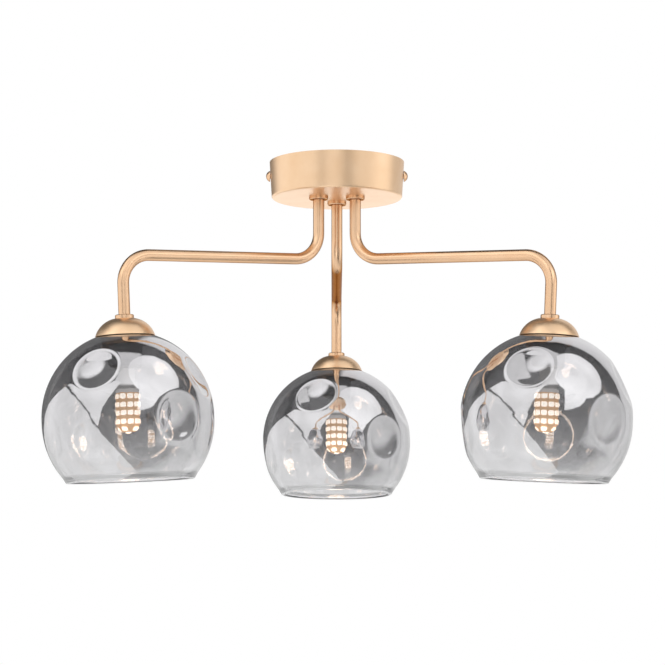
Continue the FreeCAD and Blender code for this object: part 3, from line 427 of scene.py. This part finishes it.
def grained(finish, metallic):
    """A surface whose colour drifts between two close tones over a grain of a given size."""
    material, tree = new_material(finish.name)
    place = add_node(tree, "ShaderNodeTexCoord").outputs["Object"]
    grain = add_node(tree, "ShaderNodeTexNoise", {
        "Vector": place, "Scale": texture_scale(finish.grain_mm), "Detail": 3.0})
    tint = add_node(tree, "ShaderNodeValToRGB", {"Fac": grain.outputs[0]},
                    stops=((0.35, linear(finish.colour)), (0.65, linear(finish.other))))
    bump = add_node(tree, "ShaderNodeBump", {
        "Height": grain.outputs[0], "Strength": 0.3, "Distance": finish.bump_mm * MM})
    shader = add_node(tree, "ShaderNodeBsdfPrincipled", {
        "Base Color": tint.outputs[0], "Normal": bump.outputs[0],
        "Roughness": finish.roughness, "Metallic": metallic})
    add_node(tree, "ShaderNodeOutputMaterial", {"Surface": shader.outputs[0]})
    return material


def lit(name, facing_colour, edge_shade_colour, glow):
    """A glowing surface with painted shade: paler where it faces you, darker towards its edges."""
    material, tree = new_material(name)
    facing = add_node(tree, "ShaderNodeLayerWeight", {"Blend": 0.25})
    tint = add_node(tree, "ShaderNodeValToRGB", {"Fac": facing.outputs["Facing"]},
                    stops=((0.0, facing_colour), (1.0, edge_shade_colour)))
    shader = add_node(tree, "ShaderNodeBsdfPrincipled", {
        "Base Color": tint.outputs[0], "Emission Color": tint.outputs[0], "Roughness": 0.4,
        "Emission Strength": glow})
    add_node(tree, "ShaderNodeOutputMaterial", {"Surface": shader.outputs[0]})
    return material


def matt_white_floor(settings):
    """Matt white studio floor: even and pale, and lifted towards white for the camera alone, so that
    it keeps the shadows."""
    material, tree = new_material("matt_white_floor")
    place = add_node(tree, "ShaderNodeTexCoord").outputs["Object"]
    scuffs = add_node(tree, "ShaderNodeTexNoise", {
        "Vector": place, "Scale": texture_scale(60), "Detail": 3.0})
    tint = add_node(tree, "ShaderNodeValToRGB", {"Fac": scuffs.outputs[0]},
                    stops=((0.3, linear("f4f4f4")), (0.7, linear("f8f8f8"))))
    path = add_node(tree, "ShaderNodeLightPath")
    lift = add_node(tree, "ShaderNodeMath", {
        0: path.outputs["Is Camera Ray"], 1: settings.floor_lift}, operation="MULTIPLY")
    shader = add_node(tree, "ShaderNodeBsdfPrincipled", {
        "Base Color": tint.outputs[0], "Emission Color": tint.outputs[0],
        "Emission Strength": lift.outputs[0], "Roughness": 0.7})
    add_node(tree, "ShaderNodeOutputMaterial", {"Surface": shader.outputs[0]})
    return material


def finish_node(node, material):
    """Give a material to every slot of one of the frame's nodes."""
    if node not in frame["nodes"]:
        raise RuntimeError(f"the frame has no piece named {node}")
    thing = frame["nodes"][node]
    for held in thing.material_slots:
        held.material = material
    if not thing.material_slots:
        thing.data.materials.append(material)


def nodes_in(*slots):
    """Names of the nodes that have one of these material slots."""
    nodes = [part["node"] for part in frame["record"]["subparts"]
             if part["material_slot"] in slots]
    if not nodes:
        raise RuntimeError(f"the record has no piece with a slot in {slots}")
    return nodes


# ---- places and meshes ------------------------------------------------------------------------

def pendant_matrix(arm):
    """A pendant's frame at the rim of its cup, turned so that all three globes face the same way."""
    joints = {joint["name"]: joint for joint in frame["record"]["behaviour"]["joints"]}
    joint = joints[arm + "_ring_turn"]
    up = Vector(joint["axis"]).normalized()
    origin = Vector(joint["pos_m"]) - up * (RING_JOINT * MM)
    angle = math.radians(ARM_ANGLES[arm])
    lean = math.acos(up.z)
    turn = (Matrix.Rotation(angle, 4, "Z") @ Matrix.Rotation(lean, 4, "Y")
            @ Matrix.Rotation(-angle, 4, "Z"))
    return Matrix.Translation(origin) @ turn


def mesh_object(name, points, faces, smooth=True):
    """An object from points in millimetres."""
    mesh = bpy.data.meshes.new(name)
    mesh.from_pydata([Vector(point) * MM for point in points], [], faces)
    if mesh.validate():
        raise RuntimeError(f"{name} has faces that can't be used")
    mesh.polygons.foreach_set("use_smooth", [smooth] * len(mesh.polygons))
    mesh.update()
    thing = bpy.data.objects.new(name, mesh)
    bpy.context.scene.collection.objects.link(thing)
    return thing


def grid_faces(rows, columns, closed_rows):
    """Quads of a grid whose columns close on themselves, and whose rows may too."""
    faces = []
    for row in range(rows if closed_rows else rows - 1):
        below = (row + 1) % rows
        for column in range(columns):
            beside = (column + 1) % columns
            faces.append((row * columns + column, below * columns + column,
                          below * columns + beside, row * columns + beside))
    return faces


def dent_dishes(offset):
    """Centre and radius of the sphere that each dimple takes from the globe, for the face that lies
    that far inside it."""
    depth = DENT_DEPTH - GLOBE_RADIUS + math.sqrt(GLOBE_RADIUS ** 2 - DENT_RADIUS ** 2)
    dish = (DENT_RADIUS ** 2 + depth ** 2) / (2 * depth)
    reach = GLOBE_RADIUS - DENT_DEPTH + dish
    dishes = []
    for dents, drop in ((UPPER_DENTS, 0.0), (LOWER_DENTS, GLOBE_BAND / 2)):
        for azimuth, height in dents:
            east, up = math.radians(azimuth), math.radians(height)
            toward = np.array([math.sin(east) * math.cos(up), -math.cos(east) * math.cos(up),
                               math.sin(up)])
            dishes.append((toward * reach - np.array([0, 0, drop]), dish + offset))
    return dishes


def dented(points, offset, roll):
    """Move points of the plain globe in to the dimples, with edges rolled over that far."""
    away = np.linalg.norm(points, axis=1)
    toward = points / away[:, None]
    for centre, radius in dent_dishes(offset):
        beside = toward @ centre
        inside = radius ** 2 - centre @ centre + beside ** 2
        wall = np.where(inside > 0, beside - np.sqrt(np.maximum(inside, 0)), NO_WALL)
        wall = np.where(beside > 0, wall, NO_WALL)
        blend = np.maximum(roll - np.abs(away - wall), 0) / roll
        away = np.minimum(away, wall) - blend ** 2 * roll / 4
    return toward * away[:, None]


def globe_profile(ball, count):
    """Radius and height down the side of the plain globe, from the hole to the rim."""
    top = math.acos(min(GLOBE_HOLE / ball, 1.0))
    low = math.asin((GLOBE_RIM - GLOBE_BAND) / ball)
    length = ball * (top + low) + GLOBE_BAND
    radii, heights = [], []
    for step in np.linspace(0, length, count):
        if step < ball * top:
            angle = top - step / ball
            radii.append(ball * math.cos(angle))
            heights.append(ball * math.sin(angle))
        elif step < ball * top + GLOBE_BAND:
            radii.append(ball)
            heights.append(ball * top - step)
        else:
            angle = (step - ball * top - GLOBE_BAND) / ball
            radii.append(ball * math.cos(angle))
            heights.append(-GLOBE_BAND - ball * math.sin(angle))
    return np.array(radii), np.array(heights)


def globe_face(offset, roll, around, down):
    """Rings of points of the globe's face that lies that far inside it, dimples and all."""
    turn = np.linspace(0, 2 * math.pi, around, endpoint=False)
    radii, heights = globe_profile(GLOBE_RADIUS - offset, down)
    points = np.stack([np.outer(radii, np.cos(turn)), np.outer(radii, np.sin(turn)),
                       np.outer(heights, np.ones(around))], axis=2)
    return dented(points.reshape(-1, 3), offset, roll).reshape(down, around, 3)


def rounded_edge(first, last, bow, steps):
    """Rings of a half round edge from one ring of points to another."""
    middle, half = (first + last) / 2, (last - first) / 2
    out = np.array([0, 0, bow * np.linalg.norm(half[0])])
    angles = [math.pi * step / steps for step in range(1, steps)]
    return [middle - half * math.cos(angle) + out * math.sin(angle) for angle in angles]


def globe_mesh(settings):
    """Points and faces of the dimpled glass with both faces, its lip and the edge of its hole, and
    the numbers of the faces inside it."""
    around, down = settings.columns, settings.rows
    outer = globe_face(0.0, settings.dent_roll / MM, around, down)
    inner = globe_face(GLOBE_WALL, settings.dent_roll / MM, around, down)
    near = np.clip((-GLOBE_RIM + LIP_HEIGHT - outer[:, :, 2]) / LIP_HEIGHT, 0, 1)
    swell = LIP_SWELL * near * near * (3 - 2 * near)
    width = np.linalg.norm(outer[:, :, :2], axis=2)
    outer[:, :, :2] *= (1 + swell / width)[:, :, None]

    rings = list(outer)
    rings += rounded_edge(outer[-1], inner[-1], LIP_BOW, LIP_STEPS)
    first_inside = len(rings)
    rings += list(inner[::-1])
    rings += rounded_edge(inner[0], outer[0], HOLE_BOW, HOLE_STEPS)
    inside = range((first_inside - LIP_STEPS // 2) * around, (first_inside + down) * around)
    return np.concatenate(rings), grid_faces(len(rings), around, True), inside


def board_mesh():
    """Points and faces of the ten sided board with its cap and its tapered nose."""
    points = []
    for radius, height in BOARD_PROFILE:
        for side in range(BOARD_SIDES):
            angle = math.pi * (2 * side + 1) / BOARD_SIDES
            points.append((radius * math.cos(angle), radius * math.sin(angle), height))
    return points, grid_faces(len(BOARD_PROFILE), BOARD_SIDES, False)


def chip_spots():
    """Where each chip sits on the board, and the way that it faces."""
    spots = []
    for side in range(BOARD_SIDES):
        angle = 2 * math.pi * side / BOARD_SIDES
        facing = (math.cos(angle), math.sin(angle), 0)
        for row in range(ROWS):
            height = BOARD_TOP - ROW_START - ROW_PITCH * row
            spots.append(((facing[0] * BOARD_FLAT, facing[1] * BOARD_FLAT, height), facing))
    tilt = math.atan2(BOARD_CORNER - NOSE_RADIUS, NOSE_HEIGHT)
    middle = (BOARD_FLAT + NOSE_RADIUS) / 2
    for side in range(NOSE_CHIPS):
        angle = 2 * math.pi * (side + 0.5) / NOSE_CHIPS
        facing = (math.cos(angle) * math.cos(tilt), math.sin(angle) * math.cos(tilt),
                  -math.sin(tilt))
        spots.append(((math.cos(angle) * middle, math.sin(angle) * middle,
                       BOARD_LOW - NOSE_HEIGHT / 2), facing))
    spots.append(((0, 0, BOARD_LOW - NOSE_HEIGHT), (0, 0, -1)))
    return spots


def chip_mesh():
    """Points and faces of one chip that faces up: a rounded square that swells to a pillow."""
    rings = ((1.0, 0.0), (1.0, CHIP_HEIGHT * 0.8), (0.94, CHIP_HEIGHT),
             (0.8, CHIP_HEIGHT + CHIP_SWELL * 0.45), (0.5, CHIP_HEIGHT + CHIP_SWELL * 0.85),
             (0.2, CHIP_HEIGHT + CHIP_SWELL))
    points = []
    for scale, height in rings:
        for side in range(CHIP_SIDES):
            angle = 2 * math.pi * side / CHIP_SIDES
            across, along = math.cos(angle), math.sin(angle)
            reach = (abs(across) ** 4 + abs(along) ** 4) ** (-1 / 4) / 2 * scale
            points.append((across * reach * CHIP_WIDTH, along * reach * CHIP_DEPTH, height))
    faces = [tuple(reversed(face)) for face in grid_faces(len(rings), CHIP_SIDES, False)]
    faces.append(tuple(range((len(rings) - 1) * CHIP_SIDES, len(rings) * CHIP_SIDES)))
    return points, faces


def chips_mesh():
    """One mesh of all the chips of a lamp."""
    points, faces = [], []
    shape, shape_faces = chip_mesh()
    for spot, facing in chip_spots():
        turn = Vector(facing).normalized().to_track_quat("Z", "Y").to_matrix()
        first = len(points)
        points += [tuple(turn @ Vector(point) + Vector(spot)) for point in shape]
        faces += [tuple(first + number for number in face) for face in shape_faces]
    return points, faces


# ---- studio -----------------------------------------------------------------------------------

def soft_light(name, place, aim, size, power, receivers=None):
    """An area light that no reflection shows, or one that only some pieces receive and reflect."""
    data = bpy.data.lights.new(name, "AREA")
    data.shape = "RECTANGLE"
    data.size, data.size_y = size
    data.energy = power
    light = bpy.data.objects.new(name, data)
    bpy.context.scene.collection.objects.link(light)
    light.location = place
    light.rotation_euler = (Vector(aim) - Vector(place)).to_track_quat("-Z", "Y").to_euler()
    light.visible_camera = False
    light.visible_transmission = False
    if receivers is None:
        light.visible_glossy = False
    else:
        light.light_linking.receiver_collection = receivers


def gather(name, nodes):
    """A collection of some of the frame's nodes, for lights to name."""
    collection = bpy.data.collections.new(name)
    for node in nodes:
        collection.objects.link(frame["nodes"][node])
    return collection


def metal_panels():
    """Panels for the metal pieces alone, with the dark gaps between them that the canopy shows, and
    one overhead for the bracket and fittings."""
    fitting_nodes = nodes_in(*FITTING_FINISHES)
    metal = gather("metal_pieces", nodes_in(PLATED_SLOT) + fitting_nodes)
    for name, turn, width, height, tall, level in METAL_PANELS:
        angle = math.radians(turn)
        place = (METAL_PANEL_DISTANCE * math.sin(angle), -METAL_PANEL_DISTANCE * math.cos(angle),
                 height)
        size = (2 * METAL_PANEL_DISTANCE * math.tan(math.radians(width / 2)), tall)
        soft_light(name, place, METAL_PANEL_AIM, size, math.pi * size[0] * size[1] * level, metal)
    soft_light("fittings_overhead_panel", OVERHEAD_PLACE, (0, 0, 0), OVERHEAD_SIZE,
               OVERHEAD_POWER, gather("fittings", fitting_nodes))


def panel_mask(tree, direction, planes, edge):
    """1 where the direction lies on the inner side of every plane (x, y, z, offset), else 0."""
    mask = None
    for x, y, z, offset in planes:
        dot = add_node(tree, "ShaderNodeVectorMath", {0: direction, 1: (x, y, z)},
                       operation="DOT_PRODUCT")
        step = add_node(tree, "ShaderNodeMapRange", {
            "Value": dot.outputs["Value"], "From Min": offset - edge, "From Max": offset + edge},
            interpolation_type="SMOOTHSTEP")
        if mask is None:
            mask = step.outputs[0]
        else:
            mask = add_node(tree, "ShaderNodeMath", {0: mask, 1: step.outputs[0]},
                            operation="MULTIPLY").outputs[0]
    return mask


def studio_world(settings):
    """White where the camera looks past the light; for reflections a studio of soft panels with
    dark gaps between them."""
    world = bpy.data.worlds.new("studio")
    bpy.context.scene.world = world
    world.use_nodes = True
    tree = world.node_tree
    tree.nodes.clear()
    place = add_node(tree, "ShaderNodeTexCoord")
    direction = add_node(tree, "ShaderNodeVectorMath", {0: place.outputs["Generated"]},
                         operation="NORMALIZE").outputs[0]
    brightest = settings.dark_level
    for planes, edge, level in STUDIO_PANELS:
        panel = add_node(tree, "ShaderNodeMath", {
            0: panel_mask(tree, direction, planes, edge), 1: level}, operation="MULTIPLY")
        brightest = add_node(tree, "ShaderNodeMath", {0: brightest, 1: panel.outputs[0]},
                             operation="MAXIMUM").outputs[0]
    drift = add_node(tree, "ShaderNodeTexNoise", {
        "Vector": direction, "Scale": PANEL_DRIFT_SCALE, "Detail": 1.0})
    share = add_node(tree, "ShaderNodeMapRange", {
        "Value": drift.outputs[0],
        "From Min": PANEL_DRIFT_NOISE[0], "From Max": PANEL_DRIFT_NOISE[1],
        "To Min": PANEL_DRIFT_SHARE[0], "To Max": PANEL_DRIFT_SHARE[1]})
    level = add_node(tree, "ShaderNodeMath", {0: brightest, 1: share.outputs[0]},
                     operation="MULTIPLY")
    studio = add_node(tree, "ShaderNodeBackground", {"Color": level.outputs[0], "Strength": 1.0})
    white = add_node(tree, "ShaderNodeBackground", {"Color": grey(1.0), "Strength": 1.0})
    path = add_node(tree, "ShaderNodeLightPath")
    seen = add_node(tree, "ShaderNodeMath", {
        0: path.outputs["Is Camera Ray"], 1: path.outputs["Is Transmission Ray"]},
        operation="MAXIMUM")
    mix = add_node(tree, "ShaderNodeMixShader", {
        0: seen.outputs[0], 1: studio.outputs[0], 2: white.outputs[0]})
    add_node(tree, "ShaderNodeOutputWorld", {"Surface": mix.outputs[0]})


# ---- operators --------------------------------------------------------------------------------

class CEILING_OT_plate(bpy.types.Operator):
    """Plate the canopy, cups, tubes, collars and canopy screws"""
    bl_idname = "ceiling.plate"
    bl_label = "Plate the metal"

    def execute(self, context):
        settings = context.scene.ceiling_plate
        # brushed: a broad even shine, as bright where it turns away
        brushed = rose_gold_plate(
            "brushed_rose_gold_plate", (settings.brushed_colour, settings.brushed_cloud),
            settings.brushed_roughness, linear("ffffff"), settings)
        # satin: a narrower shine between brown edges
        satin = rose_gold_plate(
            "satin_rose_gold_plate", (settings.satin_colour, settings.satin_cloud),
            settings.satin_roughness, settings.satin_edge, settings)
        for node in nodes_in(PLATED_SLOT):
            finish_node(node, satin)
        for node in ("canopy", *(arm + "_cup" for arm in ARMS)):
            finish_node(node, brushed)
        return {"FINISHED"}


class CEILING_OT_fittings(bpy.types.Operator):
    """Finish the bracket, screws, nuts, pins and inserts"""
    bl_idname = "ceiling.fittings"
    bl_label = "Finish the fittings"

    def execute(self, context):
        for slot, finish in FITTING_FINISHES.items():
            material = grained(finish, 1.0)
            for node in nodes_in(slot):
                finish_node(node, material)
        return {"FINISHED"}


class CEILING_OT_insulation(bpy.types.Operator):
    """Finish the lampholders, washers, terminal block and wires"""
    bl_idname = "ceiling.insulation"
    bl_label = "Finish the insulation"

    def execute(self, context):
        for slot, finish in INSULATION_FINISHES.items():
            material = grained(finish, 0.0)
            for node in nodes_in(slot):
                finish_node(node, material)
        return {"FINISHED"}


class CEILING_OT_globes(bpy.types.Operator):
    """Make the three dimpled glass globes"""
    bl_idname = "ceiling.globes"
    bl_label = "Make the globes"

    def execute(self, context):
        settings = context.scene.ceiling_globe
        points, faces, inside = globe_mesh(settings)
        centre = -math.sqrt(GLOBE_RADIUS ** 2 - CUP_MOUTH ** 2) - SEAT_GAP
        first = mesh_object(ARMS[0] + "_globe", points, faces)
        first.data.materials.append(smoked_mirror_glass(settings))
        first.data.materials.append(clear_blown_glass(settings))
        for face in inside:
            first.data.polygons[face].material_index = 1
        for arm in ARMS:
            globe = first
            if arm != ARMS[0]:
                globe = bpy.data.objects.new(arm + "_globe", first.data)
                context.scene.collection.objects.link(globe)
            globe.matrix_world = pendant_matrix(arm) @ Matrix.Translation((0, 0, centre * MM))
            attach(globe, arm + "_shade")
            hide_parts(arm + "_glass_shade")
        return {"FINISHED"}


class CEILING_OT_lamps(bpy.types.Operator):
    """Make the three lit lamp boards with their chips, and give the lamps' bases a painted glow"""
    bl_idname = "ceiling.lamps"
    bl_label = "Make the lamps"

    def execute(self, context):
        settings = context.scene.ceiling_lamp
        # lacquered board that the chips light: amber, with painted shade that deepens it towards its
        # edges
        board_material = lit("amber_lamp_board", settings.board_colour, linear("d8a272"),
                             settings.board_glow)
        # phosphor chips under silicone: near white, with painted shade that warms them towards their
        # edges
        bead_material = lit("lit_led_bead", settings.bead_colour, linear("ffdcb4"),
                            settings.bead_glow)
        # frosted plastic cap: grey beside the chips, with a painted glow that stands in for light it
        # hardly gets inside the globe
        cap_material = lit("frosted_lamp_collar", linear("cfccca"), linear("9a9796"),
                           settings.cap_painted_glow)
        # moulded grey plastic base, with a painted glow that stands in for light it hardly gets
        # inside the globe
        base_material = lit("lit_lamp_plastic", linear("bcbab8"), linear("8c8a88"),
                            settings.base_painted_glow)
        for node in nodes_in("lamp_plastic"):
            finish_node(node, base_material)
        board, beads = board_mesh(), chips_mesh()
        for arm in ARMS:
            body = arm + "_lamp"
            holder = mesh_object(arm + "_board", *board, smooth=False)
            holder.data.materials.append(board_material)
            holder.data.materials.append(cap_material)
            for face in holder.data.polygons[:CAP_RINGS * BOARD_SIDES]:
                face.material_index = 1
            chips = mesh_object(arm + "_beads", *beads)
            chips.data.materials.append(bead_material)
            for thing in (holder, chips):
                thing.matrix_world = pendant_matrix(arm)
                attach(thing, body)
            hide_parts(arm + "_lamp_board")
        return {"FINISHED"}


class CEILING_OT_stage(bpy.types.Operator):
    """Set up the floor, studio lights and camera"""
    bl_idname = "ceiling.stage"
    bl_label = "Set the stage"

    def execute(self, context):
        scene = context.scene
        settings = scene.ceiling_studio
        scene.view_settings.view_transform = "Standard"
        studio_world(settings)
        bpy.ops.mesh.primitive_plane_add(size=FLOOR_SIZE, location=(0, 0, FLOOR_HEIGHT))
        floor = context.object
        floor.name = "studio_floor"
        floor.data.materials.append(matt_white_floor(settings))
        floor.visible_glossy = False
        for name, place, aim, size, power in SOFT_LAMPS:
            soft_light(name, place, aim, size, getattr(settings, power))
        metal_panels()

        data = bpy.data.cameras.new("photo_camera")
        data.lens = FOCAL_PIXELS / PHOTO_WIDTH * data.sensor_width
        data.clip_start, data.clip_end = CLIP_START, CLIP_END
        camera = bpy.data.objects.new("photo_camera", data)
        scene.collection.objects.link(camera)
        camera.location = Vector(CAMERA_PLACE) * MM
        camera.rotation_euler = (math.radians(90 + CAMERA_PITCH), 0, 0)
        scene.camera = camera
        return {"FINISHED"}


class CEILING_PT_panel(bpy.types.Panel):
    """Settings and buttons in the sidebar"""
    bl_label = "Ceiling light"
    bl_space_type = "VIEW_3D"
    bl_region_type = "UI"
    bl_category = "Ceiling light"

    def draw(self, context):
        for operator in OPERATORS:
            self.layout.operator(operator.bl_idname)
        for name, group in SETTINGS:
            box = self.layout.box()
            box.label(text=group.__doc__)
            for setting in group.__annotations__:
                box.prop(getattr(context.scene, name), setting)


OPERATORS = (CEILING_OT_plate, CEILING_OT_fittings, CEILING_OT_insulation, CEILING_OT_globes,
             CEILING_OT_lamps, CEILING_OT_stage)
SETTINGS = (("ceiling_plate", PlateSettings), ("ceiling_globe", GlobeSettings),
            ("ceiling_lamp", LampSettings), ("ceiling_studio", StudioSettings))
CLASSES = (*(group for name, group in SETTINGS), *OPERATORS, CEILING_PT_panel)


def register():
    """Make the settings, operators and panel known."""
    for one in CLASSES:
        bpy.utils.register_class(one)
    for name, group in SETTINGS:
        setattr(bpy.types.Scene, name, bpy.props.PointerProperty(type=group))


def unregister():
    """Undo what register did."""
    for name, group in SETTINGS:
        delattr(bpy.types.Scene, name)
    for one in reversed(CLASSES):
        bpy.utils.unregister_class(one)


def main():
    """Make every piece and the stage."""
    register()
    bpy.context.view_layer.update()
    bpy.ops.ceiling.plate()
    bpy.ops.ceiling.fittings()
    bpy.ops.ceiling.insulation()
    bpy.ops.ceiling.globes()
    bpy.ops.ceiling.lamps()
    bpy.ops.ceiling.stage()


if __name__ == "__main__":
    main()
